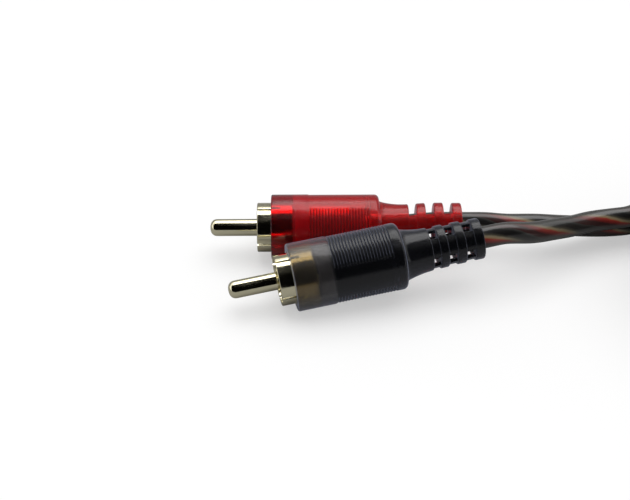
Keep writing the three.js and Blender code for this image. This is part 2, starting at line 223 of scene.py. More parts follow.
def smooth_line(points, step):
    """Points a step apart on a smooth curve through the given ones."""
    points = [np.array(p, float) for p in points]
    points = [2 * points[0] - points[1]] + points + [2 * points[-1] - points[-2]]
    line = []
    for a, b, c, d in zip(points, points[1:], points[2:], points[3:]):
        knots = [0.0]
        for p, q in ((a, b), (b, c), (c, d)):
            knots.append(knots[-1] + math.sqrt(np.linalg.norm(q - p)))
        t0, t1, t2, t3 = knots
        for t in np.linspace(t1, t2, max(2, int(np.linalg.norm(c - b) / step) + 1))[:-1]:
            a1 = (t1 - t) / (t1 - t0) * a + (t - t0) / (t1 - t0) * b
            a2 = (t2 - t) / (t2 - t1) * b + (t - t1) / (t2 - t1) * c
            a3 = (t3 - t) / (t3 - t2) * c + (t - t2) / (t3 - t2) * d
            b1 = (t2 - t) / (t2 - t0) * a1 + (t - t0) / (t2 - t0) * a2
            b2 = (t3 - t) / (t3 - t1) * a2 + (t - t1) / (t3 - t1) * a3
            line.append((t2 - t) / (t2 - t1) * b1 + (t - t1) / (t2 - t1) * b2)
    line.append(points[-2])
    return [Vector(p) for p in line]


def route(colour, lead, tail, lift):
    """A whole cable's centreline in metres, from inside one plug to inside the other."""
    samples = int(LAST_TURN[colour] / TURN_SAMPLE)
    turns = [LAST_TURN[colour] * i / samples for i in range(samples + 1)]
    middle = lead + [hank_point(turn, lift) for turn in turns] + tail
    points = [leaning(colour, along) for along in HELD_AT]
    points += [(Vector(point) + SHIFT) * MM for point in middle]
    points += [on_axis(f"far_{colour}", along) for along in reversed(HELD_AT)]
    return smooth_line(points, LINE_STEP * MM)


routes = {
    "red": route("red", RED_LEAD, RED_TAIL, 0),
    "black": route("black", BLACK_LEAD, BLACK_TAIL, TURN_PITCH),
}


def line_length(line):
    return sum((b - a).length for a, b in zip(line, line[1:]))


for name, line in routes.items():
    print(name, "cable:", round(line_length(line), 4), "m,", len(line), "points")

# %% [markdown]
# ## A tube that remembers its length
#
# The jacket is drawn as rings swept along the route. Each face corner gets a UV: U goes once round
# the cable and V is the length along it in metres. A pattern that reads this UV follows every bend,
# which an object-space pattern could not do. The rings bulge a little where the two wires inside
# press outwards, so that highlights waver along the cable as they do on the real one.

# %% Cable surfaces
TUBE_SIDES = 24
STRIPE_PITCH = 14.0  # millimetres of cable from one red stripe to the next
STRIPE_STARTS = 3  # stripes side by side round the cable
JACKET_SWELL = 0.03


def cross_frames(line):
    """A pair of directions across the line at each of its points, without any twist."""
    tangents = []
    for i in range(len(line)):
        tangents.append((line[min(i + 1, len(line) - 1)] - line[max(i - 1, 0)]).normalized())
    side = tangents[0].cross(Vector((0, 0, 1))).normalized()
    frames = []
    for tangent in tangents:
        side = (side - tangent * side.dot(tangent)).normalized()
        frames.append((side, tangent.cross(side)))
    return frames


def cable_mesh(name, line):
    """A jacketed cable's surface, with its length along the route in V."""
    mesh = bpy.data.meshes.new(name)
    shell = bmesh.new()
    uv_layer = shell.loops.layers.uv.new("cable")
    rings = []
    lengths = []
    along = 0.0
    for i, (point, (side, up)) in enumerate(zip(line, cross_frames(line))):
        along += (point - line[i - 1]).length if i else 0.0
        lengths.append(along)
        ring = []
        for k in range(TUBE_SIDES):
            angle = 2 * math.pi * k / TUBE_SIDES
            phase = STRIPE_STARTS * angle - 2 * math.pi * along / (STRIPE_PITCH * MM)
            radius = (CABLE_RADIUS + JACKET_SWELL * math.cos(phase)) * MM
            out = side * radius * math.cos(angle) + up * radius * math.sin(angle)
            ring.append(shell.verts.new(point + out))
        rings.append(ring)
    for i in range(len(rings) - 1):
        for k in range(TUBE_SIDES):
            n = (k + 1) % TUBE_SIDES
            face = shell.faces.new((rings[i][k], rings[i][n], rings[i + 1][n], rings[i + 1][k]))
            face.smooth = True
            corners = ((k, i), (k + 1, i), (k + 1, i + 1), (k, i + 1))
            for loop, (u, v) in zip(face.loops, corners):
                loop[uv_layer].uv = (u / TUBE_SIDES, lengths[v])
    for ring, v in ((rings[0][::-1], lengths[0]), (rings[-1], lengths[-1])):
        cap = shell.faces.new(ring)
        for loop in cap.loops:
            loop[uv_layer].uv = (0.5, v)
    bmesh.ops.recalc_face_normals(shell, faces=shell.faces)
    shell.to_mesh(mesh)
    shell.free()
    piece = bpy.data.objects.new(name, mesh)
    bpy.context.scene.collection.objects.link(piece)
    return piece


cables = {}
for colour, line in routes.items():
    cable = cable_mesh(f"{colour}_cable", line)
    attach(cable, "root")
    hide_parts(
        f"{colour}_cable_end", f"{colour}_lead", f"{colour}_tail",
        f"far_{colour}_cable_end", "hank",
    )
    cables[colour] = cable
    print(cable.name, len(cable.data.polygons), "faces")

# %% [markdown]
# ## Turning a profile
#
# Nearly every piece of a plug is round about the plug's axis, so each is turned, as on a lathe: one
# vertex is extruded from point to point of a half profile, and Spin carries the profile once round
# the X axis. A closed profile, which ends where it began, makes a ring with a hole through it.

# %% A lathe
ROUND_SIDES = 96
MERGE_WITHIN = 0.002
FIT = 0.13  # between pieces that meet


def choose_nothing():
    if bpy.context.object and bpy.context.object.mode != "OBJECT":
        bpy.ops.object.mode_set(mode="OBJECT")
    bpy.ops.object.select_all(action="DESELECT")


def choose(piece):
    """Makes this the one selected piece, and the active one."""
    choose_nothing()
    piece.select_set(True)
    bpy.context.view_layer.objects.active = piece


def choose_points(piece, wanted):
    """Goes into edit mode with only the wanted points selected, by a test on each vertex."""
    bpy.ops.object.mode_set(mode="EDIT")
    bpy.ops.mesh.select_all(action="DESELECT")
    bpy.ops.object.mode_set(mode="OBJECT")
    for vertex in piece.data.vertices:
        vertex.select = wanted(vertex)
    bpy.ops.object.mode_set(mode="EDIT")


def turned(name, profile, sides=ROUND_SIDES):
    """A closed solid from a profile of (along, radius) points in millimetres, turned about X."""
    choose_nothing()
    bpy.ops.mesh.primitive_plane_add(size=MM)
    piece = bpy.context.object
    piece.name = name
    bpy.ops.object.mode_set(mode="EDIT")
    bpy.ops.mesh.merge(type="CENTER")
    at = (0.0, 0.0)
    for step, (along, radius) in enumerate(profile):
        move = ((along - at[0]) * MM, 0, (radius - at[1]) * MM)
        if step:
            bpy.ops.mesh.extrude_region_move(TRANSFORM_OT_translate={"value": move})
        else:
            bpy.ops.transform.translate(value=move)
        at = (along, radius)
    bpy.ops.mesh.select_all(action="SELECT")
    bpy.ops.mesh.spin(steps=sides, angle=2 * math.pi, center=(0, 0, 0), axis=(1, 0, 0))
    bpy.ops.mesh.select_all(action="SELECT")
    bpy.ops.mesh.remove_doubles(threshold=MERGE_WITHIN * MM)
    bpy.ops.mesh.normals_make_consistent(inside=False)
    bpy.ops.object.mode_set(mode="OBJECT")
    return piece


def smooth_by_angle(piece, degrees=35):
    choose(piece)
    bpy.ops.object.shade_smooth_by_angle(angle=math.radians(degrees))


def corner(along, radius, size, first, last, steps=4):
    """Profile points round a corner, centred at (along, radius), between two angles in degrees."""
    points = []
    for i in range(steps + 1):
        angle = math.radians(first + (last - first) * i / steps)
        points.append((along + size * math.cos(angle), radius + size * math.sin(angle)))
    return points


def combine(piece, other, operation):
    """A boolean of two solids, applied, which uses the second one up."""
    choose(piece)
    change = piece.modifiers.new("combine", "BOOLEAN")
    change.object = other
    change.operation = operation
    change.solver = "EXACT"
    bpy.ops.object.modifier_apply(modifier=change.name)
    bpy.data.objects.remove(other)
    return piece


def turn_about_axis(piece, degrees):
    """Turns a piece about the plug's axis, and applies the turn."""
    choose(piece)
    piece.rotation_euler = (math.radians(degrees), 0, 0)
    bpy.ops.object.transform_apply()
    return piece


def rounded_block(name, low, high, rounding, segments=3):
    """A box between two corners in millimetres, with rounded edges."""
    choose_nothing()
    bpy.ops.mesh.primitive_cube_add(size=1)
    piece = bpy.context.object
    piece.name = name
    middle = [(a + b) / 2 * MM for a, b in zip(low, high)]
    bpy.ops.object.mode_set(mode="EDIT")
    bpy.ops.transform.resize(value=[(b - a) * MM for a, b in zip(low, high)])
    bpy.ops.transform.translate(value=middle)
    if rounding:
        bpy.ops.mesh.bevel(offset=rounding * MM, segments=segments, affect="EDGES")
    bpy.ops.object.mode_set(mode="OBJECT")
    return piece


# %% [markdown]
# ## The centre pin
#
# The pin is one plated rod: a blunt rounded nose, a straight working length, and a thinner shank
# that is held by the insulator and soldered behind it. Its nose is a small dome with a soft corner.

# %% The pin
PIN_RADIUS = 1.59
PIN_REACH = 11.4
NOSE_DEPTH = 1.25
SHANK_RADIUS = 0.9
FLANGE_FRONT = 1.84
PIN_END = 7.57


def pin_profile():
    nose = []
    for i in range(9):
        angle = math.radians(90 * i / 8)
        nose.append((
            -PIN_REACH + NOSE_DEPTH * (1 - math.cos(angle)), PIN_RADIUS * math.sin(angle) ** 0.8,
        ))
    waist = FLANGE_FRONT - FIT
    return nose + [
        (-PIN_REACH + 2.2, PIN_RADIUS), (-4.0, PIN_RADIUS), (0.0, PIN_RADIUS),
        (waist - 0.1, PIN_RADIUS), (waist, PIN_RADIUS - 0.1), (waist + 0.02, SHANK_RADIUS),
        (PIN_END - 0.1, SHANK_RADIUS), (PIN_END, SHANK_RADIUS - 0.1), (PIN_END, 0),
    ]


pin = turned("pin_pattern", pin_profile(), 64)
smooth_by_angle(pin, 40)
print("pin:", len(pin.data.polygons), "faces")

# %% [markdown]
# ## The ground shell
#
# The shell is a thin pressed cup. Its rim is slit in four, so that the petals can spring over a
# socket, and each petal's lip is turned slightly out. A cup is turned first and the slits are then
# cut with one cross of thin blocks. A flat tab folds back from its base, for the screen's solder.

# %% The shell
SHELL_RADIUS = 4.575
SHELL_WALL = 0.44
SHELL_REACH = 2.6
SHELL_SEAT = 4.07
SHELL_BASE = 0.5
SLOT_WIDTH = 0.5
SLOT_LENGTH = 4.4
SLOT_TURN = 20
INSULATOR_NECK = 1.75
TAB = {"width": 1.6, "thickness": 0.4, "inner": 2.05, "end": 8.97}


def shell_profile():
    outer = SHELL_RADIUS
    inner = SHELL_RADIUS - SHELL_WALL
    lip = corner(-SHELL_REACH + 0.2, outer - 0.2, 0.2, 90, 200, 5)
    return [
        (SHELL_SEAT, INSULATOR_NECK + FIT),
        *corner(SHELL_SEAT - 0.35, outer - 0.35, 0.35, 0, 90),
        (2.0, outer), (0.0, outer), (-1.4, outer), *lip,
        (-SHELL_REACH + 0.12, inner + 0.04), (-SHELL_REACH + 0.4, inner), (0.0, inner),
        *reversed(corner(SHELL_SEAT - SHELL_BASE - 0.3, inner - 0.3, 0.3, 0, 90)),
        (SHELL_SEAT - SHELL_BASE, INSULATOR_NECK + FIT), (SHELL_SEAT, INSULATOR_NECK + FIT),
    ]


def make_shell():
    shell = turned("shell_pattern", shell_profile())
    for quarter in (0, 90):
        blade = rounded_block(
            "slit", (-SHELL_REACH - 1, -SLOT_WIDTH / 2, -6),
            (-SHELL_REACH + SLOT_LENGTH, SLOT_WIDTH / 2, 6), 0.12, 2,
        )
        combine(shell, turn_about_axis(blade, SLOT_TURN + quarter), "DIFFERENCE")
    tab = rounded_block(
        "tab", (SHELL_SEAT - 0.3, -TAB["width"] / 2, TAB["inner"]),
        (TAB["end"], TAB["width"] / 2, TAB["inner"] + TAB["thickness"]), 0.1, 2,
    )
    return combine(shell, tab, "UNION")


shell = make_shell()
smooth_by_angle(shell)
print("shell:", len(shell.data.polygons), "faces")

# %% [markdown]
# ## The insulator and the inner mould
#
# A black nylon washer with a neck holds the pin in the middle of the shell. Behind it, an inner
# mould covers the solder joints. The hood is moulded over both. In the red plug the inner mould
# has a pale front and a plated crimp barrel behind it, which make the red vinyl shine from inside.

# %% Insulator and mould
CORE_RADIUS = 4.3
CORE_FRONT = 4.37
CORE_REAR = 18.37
CORE_BORE = 2.75
CORE_TAPER = 1.0


def insulator_profile():
    bore = SHANK_RADIUS + FIT
    flange = SHELL_RADIUS - SHELL_WALL - FIT
    rear = SHELL_SEAT - SHELL_BASE - FIT
    return [
        (FLANGE_FRONT, bore), (FLANGE_FRONT, 1.9), (FLANGE_FRONT + 0.25, 2.1),
        *reversed(corner(FLANGE_FRONT + 0.2, flange - 0.2, 0.2, 90, 180, 3)),
        *reversed(corner(rear - 0.35, flange - 0.35, 0.35, 0, 90, 3)),
        (rear, INSULATOR_NECK), (4.97, INSULATOR_NECK), (4.97, bore), (FLANGE_FRONT, bore),
    ]


def core_profile():
    return [
        (CORE_FRONT, CORE_BORE),
        *reversed(corner(CORE_FRONT + 0.3, CORE_RADIUS - 0.3, 0.3, 90, 180, 3)),
        (9.0, CORE_RADIUS), (13.0, CORE_RADIUS), (CORE_REAR - 1.5, CORE_RADIUS),
        *reversed(corner(CORE_REAR - 0.6, CORE_RADIUS - CORE_TAPER, 0.6, 0, 60, 3)),
        (CORE_REAR, CORE_BORE), (CORE_FRONT, CORE_BORE),
    ]


insulator = turned("insulator_pattern", insulator_profile(), 64)
core = turned("core_pattern", core_profile(), 64)
for piece in (insulator, core):
    smooth_by_angle(piece)
    print(piece.name, len(piece.data.polygons), "faces")

# %% [markdown]
# ## The hood
#
# The hood is one soft moulding: a plain collar over the shell, a grip with twenty fine ridges on
# two sides and a plain panel between them, a shoulder, a neck, and a strain relief of three ribs
# that thin webs join. The body is turned with every ridge's points in its profile. The grooves
# are then pressed in by choosing their points on the two ribbed sides only and scaling them towards
# the axis, so the plain panels stay round.

# %% The hood's body
HOOD_RADIUS = 6.105
BODY_RADIUS = 6.025
COLLAR_LENGTH = 6.9
BODY_LENGTH = 20.0
SHOULDER = 0.8
NECK_FRONT = 4.7
NECK_REAR = 3.9
NECK_END = 25.6
RELIEF_END = 3.7
GRIP_START = 7.05
GRIP_PITCH = 0.55
GRIP_RIDGES = 20
GRIP_DEPTH = 0.27
GRIP_SPREAD = 120  # degrees, on each ribbed side
GROOVE_EDGE = 0.05
OUTSIDE_FROM = 5.5
BORE = CABLE_RADIUS + FIT


def hood_profile():
    outside = [
        *reversed(corner(0.3, HOOD_RADIUS - 0.3, 0.3, 90, 180, 4)),
        (3.0, HOOD_RADIUS), (COLLAR_LENGTH - 0.1, HOOD_RADIUS), (COLLAR_LENGTH, BODY_RADIUS + 0.02),
    ]
    for ridge in range(GRIP_RIDGES):
        start = GRIP_START + ridge * GRIP_PITCH
        outside += [(start + share * GRIP_PITCH, BODY_RADIUS) for share in (0.0, 0.27, 0.5, 0.73)]
    outside += [
        (GRIP_START + GRIP_RIDGES * GRIP_PITCH, BODY_RADIUS), (18.7, BODY_RADIUS),
        *reversed(corner(BODY_LENGTH - SHOULDER, BODY_RADIUS - SHOULDER, SHOULDER, 0, 90, 6)),
        (BODY_LENGTH + 0.02, NECK_FRONT + 0.25), (BODY_LENGTH + 0.2, NECK_FRONT + 0.02),
    ]
    neck = []
    for i in range(1, 8):
        share = i / 8
        fall = (1 - (1 - share) ** 1.9) * (NECK_FRONT - NECK_REAR)
        neck.append((BODY_LENGTH + 0.2 + share * (NECK_END - BODY_LENGTH - 0.2), NECK_FRONT - fall))
    neck += reversed(corner(NECK_END - 0.25, NECK_REAR - 0.25, 0.25, 0, 90, 3))
    pocket = SHELL_RADIUS + FIT
    cavity = CORE_RADIUS + FIT
    inside = [
        (NECK_END, BORE), (18.5, BORE), (18.5, CORE_RADIUS - CORE_TAPER + FIT), (17.4, cavity),
        (SHELL_SEAT + FIT, cavity), (SHELL_SEAT + FIT, pocket), (0.1, pocket), (0, pocket + 0.1),
    ]
    profile = outside + neck + inside
    return profile + profile[:1]


def press_grooves(body):
    """Scales the groove points on the two ribbed sides towards the axis."""
    spread = math.radians(GRIP_SPREAD / 2)
    choose(body)
    for share, depth in ((0.27, GROOVE_EDGE), (0.5, GRIP_DEPTH), (0.73, GROOVE_EDGE)):
        places = [GRIP_START + (ridge + share) * GRIP_PITCH for ridge in range(GRIP_RIDGES)]

        def in_groove(vertex):
            x, y, z = vertex.co / MM
            on_ring = min(abs(x - place) for place in places) < 0.001
            on_outside = math.hypot(y, z) > OUTSIDE_FROM
            return on_ring and on_outside and math.atan2(abs(z), abs(y)) < spread

        choose_points(body, in_groove)
        scale = 1 - depth / BODY_RADIUS
        bpy.ops.transform.resize(value=(1, scale, scale), center_override=(0, 0, 0))
        bpy.ops.object.mode_set(mode="OBJECT")


hood = turned("hood_pattern", hood_profile())
press_grooves(hood)
print("hood body:", len(hood.data.polygons), "faces")

# %% [markdown]
# ## The strain relief
#
# Each rib is a ring with rounded edges, slightly narrower at its top, as it has to leave its
# mould. Thin webs on three sides join the ribs, and the fourth side is open down to the cable.
# They are cut from a turned sleeve with two crossed blocks, one of them half as long, so that they
# keep its curve. All are then joined to the hood's body in one skin.

# %% The ribs and webs
RIB_COUNT = 3
RIB_WIDTH = 2.0
RIB_GAP = 1.37
WEB_WIDTH = 3.4
WEB_THICKNESS = 0.4
WEB_STEP = 0.3  # how far a web lies below the ribs' tops
WEB_TURN = -25  # degrees about the axis, from the middle of the ribbed sides
PLUG_END = NECK_END + RIB_COUNT * (RIB_GAP + RIB_WIDTH)


def rib_profile(start, radius):
    lean = 0.14
    soft = 0.25
    return [
        (start, BORE), (start + lean * 0.3, BORE + 0.8),
        *reversed(corner(start + lean + soft, radius - soft, soft, 90, 175, 4)),
        *reversed(corner(start + RIB_WIDTH - lean - soft, radius - soft, soft, 5, 90, 4)),
        (start + RIB_WIDTH - lean * 0.3, BORE + 0.8), (start + RIB_WIDTH, BORE), (start, BORE),
    ]


def relief_radius(along):
    return NECK_REAR + (RELIEF_END - NECK_REAR) * (along - NECK_END) / (PLUG_END - NECK_END)


def web_profile():
    front, rear = NECK_END - 0.5, PLUG_END - 0.7
    front_top, rear_top = NECK_REAR - WEB_STEP, RELIEF_END - WEB_STEP
    return [
        (front, front_top - WEB_THICKNESS), (front, front_top), (rear, rear_top),
        (rear, rear_top - WEB_THICKNESS), (front, front_top - WEB_THICKNESS),
    ]


def web_cut(quarter, reach):
    """A block across the sleeve, from one side of it as far as the reach."""
    low = (NECK_END - 2, -6, -WEB_WIDTH / 2)
    high = (PLUG_END + 2, reach, WEB_WIDTH / 2)
    return turn_about_axis(rounded_block(f"web_cut_{quarter}", low, high, 0), WEB_TURN + quarter)


webs = turned("webs", web_profile())
crosses = [web_cut(0, 6), web_cut(90, -1)]
combine(webs, combine(crosses[0], crosses[1], "UNION"), "INTERSECT")
starts = [NECK_END + RIB_GAP + rib * (RIB_GAP + RIB_WIDTH) for rib in range(RIB_COUNT)]
ribs = [
    turned("rib", rib_profile(start, relief_radius(start + RIB_WIDTH / 2))) for start in starts
]
choose_nothing()
for rib in ribs:
    rib.select_set(True)
bpy.context.view_layer.objects.active = ribs[0]
bpy.ops.object.join()
combine(hood, combine(ribs[0], webs, "UNION"), "UNION")
smooth_by_angle(hood, 40)
hood_length = max(vertex.co.x for vertex in hood.data.vertices)
print("hood:", len(hood.data.polygons), "faces, length", round(hood_length, 5))

# %% [markdown]
# ## Four plugs from one pattern
#
# Every plug has the same five mouldings and pressings. Each is copied with its own mesh, carried
# to its plug's place, and given its place in the mesh by applying the move. The smoke hood lies the
# other way up, with its relief's open side underneath at the back.

# %% Copying the plug's pieces
PATTERNS = {
    "hood": hood, "ground_shell": shell, "center_pin": pin, "pin_insulator": insulator,
    "inner_mould": core,
}
DEEPEST = 1.2  # past this share of a groove's depth, a point is on the hood's inside


def mark_along(piece):
    """Stores how far each point lies behind the plug's front face, in millimetres."""
    mark = piece.data.attributes.new("along", "FLOAT", "POINT")
    mark.data.foreach_set("value", [vertex.co.x / MM for vertex in piece.data.vertices])


def mark_grooves(piece):
    """Stores how deep each point of the grip lies in its groove, from nought to one."""
    depths = []
    for vertex in piece.data.vertices:
        x, y, z = vertex.co / MM
        depth = (BODY_RADIUS - math.hypot(y, z)) / GRIP_DEPTH
        in_grip = GRIP_START < x < GRIP_START + GRIP_RIDGES * GRIP_PITCH
        depths.append(max(depth, 0) if in_grip and depth < DEEPEST else 0)
    mark = piece.data.attributes.new("groove", "FLOAT", "POINT")
    mark.data.foreach_set("value", depths)


def lean_relief(piece, plug):
    """Moves the end of a hood's relief, and what is ahead of it less and less."""
    marks = [mark.value for mark in piece.data.attributes["along"].data]
    choose_points(piece, lambda vertex: marks[vertex.index] > LEAN_FULL)
    bpy.ops.transform.translate(
        value=LEANS[plug], use_proportional_edit=True, proportional_edit_falloff="SMOOTH",
        proportional_size=(LEAN_FULL - LEAN_FROM) * MM,
    )
    bpy.ops.object.mode_set(mode="OBJECT")


def copy_to(pattern, plug, part):
    piece = pattern.copy()
    piece.data = pattern.data.copy()
    piece.name = f"{plug}_{part}_fine"
    bpy.context.scene.collection.objects.link(piece)
    half_turn = Matrix.Rotation(math.pi, 4, "X") if (plug, part) == ("black", "hood") else Matrix()
    piece.matrix_world = plug_matrix(plug) @ half_turn
    choose(piece)
    bpy.ops.object.transform_apply()
    if part == "hood" and plug in LEANS:
        lean_relief(piece, plug)
    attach(piece, "root")
    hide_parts(f"{plug}_{part}")
    return piece


for pattern in (hood, core):
    mark_along(pattern)
mark_grooves(hood)
made = {
    (plug, part): copy_to(pattern, plug, part)
    for plug in PLUGS for part, pattern in PATTERNS.items()
}
for pattern in PATTERNS.values():
    bpy.data.objects.remove(pattern)
print("pieces copied:", len(made))

# %% [markdown]
# ## Node helpers
#
# A material is a small graph. These helpers add nodes by type, set their plain values and join
# sockets by name, so that each finish below reads as a list of what it is made of.

# %% Building a material
def new_finish(name):
    """A material with a Principled shader joined to its output."""
    finish = bpy.data.materials.new(name)
    finish.use_nodes = True
    return finish, finish.node_tree, finish.node_tree.nodes["Principled BSDF"]


def node(tree, kind, **settings):
    made_node = tree.nodes.new(kind)
    for key, value in settings.items():
        if hasattr(made_node, key):
            setattr(made_node, key, value)
        else:
            made_node.inputs[key.replace("_", " ")].default_value = value
    return made_node


def ramp(tree, factor, stops):
    """A colour ramp fed by a socket, with (position, colour) stops."""
    made_node = tree.nodes.new("ShaderNodeValToRGB")
    elements = made_node.color_ramp.elements
    while len(elements) < len(stops):
        elements.new(0.5)
    for element, (position, colour) in zip(elements, stops):
        element.position = position
        element.color = (*colour, 1)
    tree.links.new(factor, made_node.inputs["Fac"])
    return made_node.outputs["Color"]


def arithmetic(tree, operation, first, second):
    """A Math node with each input a socket or a number."""
    made_node = node(tree, "ShaderNodeMath", operation=operation)
    for socket, value in zip(made_node.inputs, (first, second)):
        if isinstance(value, (int, float)):
            socket.default_value = value
        else:
            tree.links.new(value, socket)
    return made_node.outputs[0]


def mixed(tree, factor, first, second):
    """A colour between two, each a socket or a colour."""
    made_node = node(tree, "ShaderNodeMix", data_type="RGBA")
    sockets = (made_node.inputs[0], made_node.inputs[6], made_node.inputs[7])
    for socket, value in zip(sockets, (factor, first, second)):
        if isinstance(value, (int, float)):
            socket.default_value = value
        elif isinstance(value, tuple):
            socket.default_value = (*value, 1)
        else:
            tree.links.new(value, socket)
    return made_node.outputs[2]


def noise(tree, **settings):
    """A noise over the piece's own coordinates."""
    place = node(tree, "ShaderNodeTexCoord")
    made_node = node(tree, "ShaderNodeTexNoise", **settings)
    tree.links.new(place.outputs["Object"], made_node.inputs["Vector"])
    return made_node.outputs["Fac"]


def bumped(tree, shader, height, strength, distance):
    """Joins a height to a shader's normal, as bumps this many metres deep."""
    bump = node(tree, "ShaderNodeBump", Strength=strength, Distance=distance)
    tree.links.new(height, bump.inputs["Height"])
    tree.links.new(bump.outputs["Normal"], shader.inputs["Normal"])


def glossed(tree, shader, factor, low, high, **settings):
    """Joins a roughness between two values to a shader."""
    gloss = node(tree, "ShaderNodeMapRange", To_Min=low, To_Max=high, **settings)
    tree.links.new(factor, gloss.inputs["Value"])
    tree.links.new(gloss.outputs["Result"], shader.inputs["Roughness"])


# %% [markdown]
# ## Grain shared by all the mouldings
#
# Every moulded surface here is finely grained, from the spark-eroded mould it came out of, and is a
# little uneven in colour and gloss. One node group gives both: a fine height for the bumps, and a
# slow mottle between nought and one. Each finish sets its own sizes.

# %% The mould grain group
def mould_grain_group():
    group = bpy.data.node_groups.new("mould_grain", "ShaderNodeTree")
    for name, value in (("Fine Scale", 6000.0), ("Mottle Scale", 300.0)):
        socket = group.interface.new_socket(name, in_out="INPUT", socket_type="NodeSocketFloat")
        socket.default_value = value
    for name in ("Height", "Mottle"):
        group.interface.new_socket(name, in_out="OUTPUT", socket_type="NodeSocketFloat")
    inside = node(group, "NodeGroupInput")
    outside = node(group, "NodeGroupOutput")
    place = node(group, "ShaderNodeTexCoord")
    fine = node(group, "ShaderNodeTexNoise", Detail=3.0, Roughness=0.6)
    slow = node(group, "ShaderNodeTexNoise", Detail=2.0, Roughness=0.5)
    for texture, name in ((fine, "Fine Scale"), (slow, "Mottle Scale")):
        group.links.new(place.outputs["Object"], texture.inputs["Vector"])
        group.links.new(inside.outputs[name], texture.inputs["Scale"])
    stretch = node(group, "ShaderNodeMapRange", From_Min=0.3, From_Max=0.7)
    group.links.new(slow.outputs["Fac"], stretch.inputs["Value"])
    group.links.new(fine.outputs["Fac"], outside.inputs["Height"])
    group.links.new(stretch.outputs["Result"], outside.inputs["Mottle"])
    return group


MOULD_GRAIN = mould_grain_group()


def grained(tree, shader, fine_scale, mottle_scale, strength, distance):
    """Joins the grain's bumps to a shader's normal, and gives back the mottle's socket."""
    grain = node(tree, "ShaderNodeGroup", node_tree=MOULD_GRAIN)
    grain.inputs["Fine Scale"].default_value = fine_scale
    grain.inputs["Mottle Scale"].default_value = mottle_scale
    bumped(tree, shader, grain.outputs["Height"], strength, distance)
    return grain.outputs["Mottle"]


# %% [markdown]
# ## Translucent vinyl
#
# The hoods are clear tinted vinyl with a frosted skin. Light goes in, meets the plated shell and
# the inner mould, and comes out again, so the finish is a rough transmissive one. The collar's thin
# wall takes little colour from the light, and the thick body behind it takes much more. How far a
# point lies along the plug was stored in its mesh before it was carried to its place. A sheen
# gives the frosted skin its pale bloom along the top.

# %% The vinyl finish
COLLAR_SHARE = 4.2  # millimetres behind the front face, where the shell's end shows through
BAND_SHARE = 6.9
PLUG_SHARE = 36.0
COLLAR_CLEAR = 0.98
# Painted shade: the grip's grooves are darkened in colour, down to this share at their bottoms.
PAINTED_GROOVE_SHADE = 0.12  # how little light comes back out of a groove
VINYL_IOR = 1.47
BLOOM_SPREAD = 0.4
BLOOM_TINT = (0.72, 0.78, 1, 1)


def along_plug(tree, stops):
    """Colours by distance behind the plug's front face, as (millimetres, colour) stops."""
    mark = node(tree, "ShaderNodeAttribute", attribute_name="along")
    share = arithmetic(tree, "DIVIDE", mark.outputs["Fac"], PLUG_SHARE)
    return ramp(tree, share, [(millimetres / PLUG_SHARE, colour) for millimetres, colour in stops])


def multiplied(tree, share, first, second):
    """The first colour multiplied by this share of the second."""
    made_node = node(tree, "ShaderNodeMix", data_type="RGBA", blend_type="MULTIPLY")
    made_node.inputs[0].default_value = share
    tree.links.new(first, made_node.inputs[6])
    tree.links.new(second, made_node.inputs[7])
    return made_node.outputs[2]


def vinyl(name, collar, band, body, roughness, cloud, bloom, shine):
    """A frosted, tinted, transmissive moulding, darker and cloudier where it is thick.

    Cloud is the share of light that the body scatters back, bloom the strength of the soft light
    along its edges, and shine the strength of its mirror reflection.
    """
    finish, tree, shader = new_finish(name)
    mottle = grained(tree, shader, 5200.0, 420.0, 0.12, 0.00005)
    tint = along_plug(tree, [
        (COLLAR_SHARE - 0.3, collar), (COLLAR_SHARE, band),
        (BAND_SHARE - 0.2, band), (BAND_SHARE + 0.4, body),
    ])
    # Painted shade: the base colour is darkened towards the bottom of each groove of the grip.
    groove = node(tree, "ShaderNodeAttribute", attribute_name="groove")
    shade = ramp(tree, groove.outputs["Fac"], [(0.15, (1, 1, 1)), (0.85, (PAINTED_GROOVE_SHADE,) * 3)])
    uneven = multiplied(tree, 0.15, tint, mottle)
    tree.links.new(multiplied(tree, 1.0, uneven, shade), shader.inputs["Base Color"])
    glossed(tree, shader, mottle, roughness - 0.03, roughness + 0.03)
    clear = along_plug(tree, [
        (COLLAR_SHARE - 0.3, (COLLAR_CLEAR,) * 3), (COLLAR_SHARE, (1 - cloud,) * 3),
    ])
    tree.links.new(clear, shader.inputs["Transmission Weight"])
    shader.inputs["IOR"].default_value = VINYL_IOR
    shader.inputs["Specular IOR Level"].default_value = shine
    shader.inputs["Sheen Weight"].default_value = bloom
    shader.inputs["Sheen Roughness"].default_value = BLOOM_SPREAD
    shader.inputs["Sheen Tint"].default_value = BLOOM_TINT
    return finish


RED_VINYL = vinyl(
    "red_vinyl", collar=(0.80, 0.010, 0.016), band=(0.99, 0.008, 0.018), body=(0.99, 0.014, 0.014),
    roughness=0.16, cloud=0.18, bloom=0.16, shine=0.26,
)
SMOKE_VINYL = vinyl(
    "smoke_vinyl", collar=(0.50, 0.43, 0.31), band=(0.38, 0.36, 0.36), body=(0.014, 0.014, 0.020),
    roughness=0.19, cloud=0.03, bloom=0.55, shine=0.2,
)


# %% [markdown]
# ## Pale gold plating
#
# The pins and shells are plated a very pale, slightly green gold, polished like a mirror. Only
# faint smears and fine rubbing marks along the pin break it up. They change the roughness, stir
# the normal a little, and hardly touch the colour.

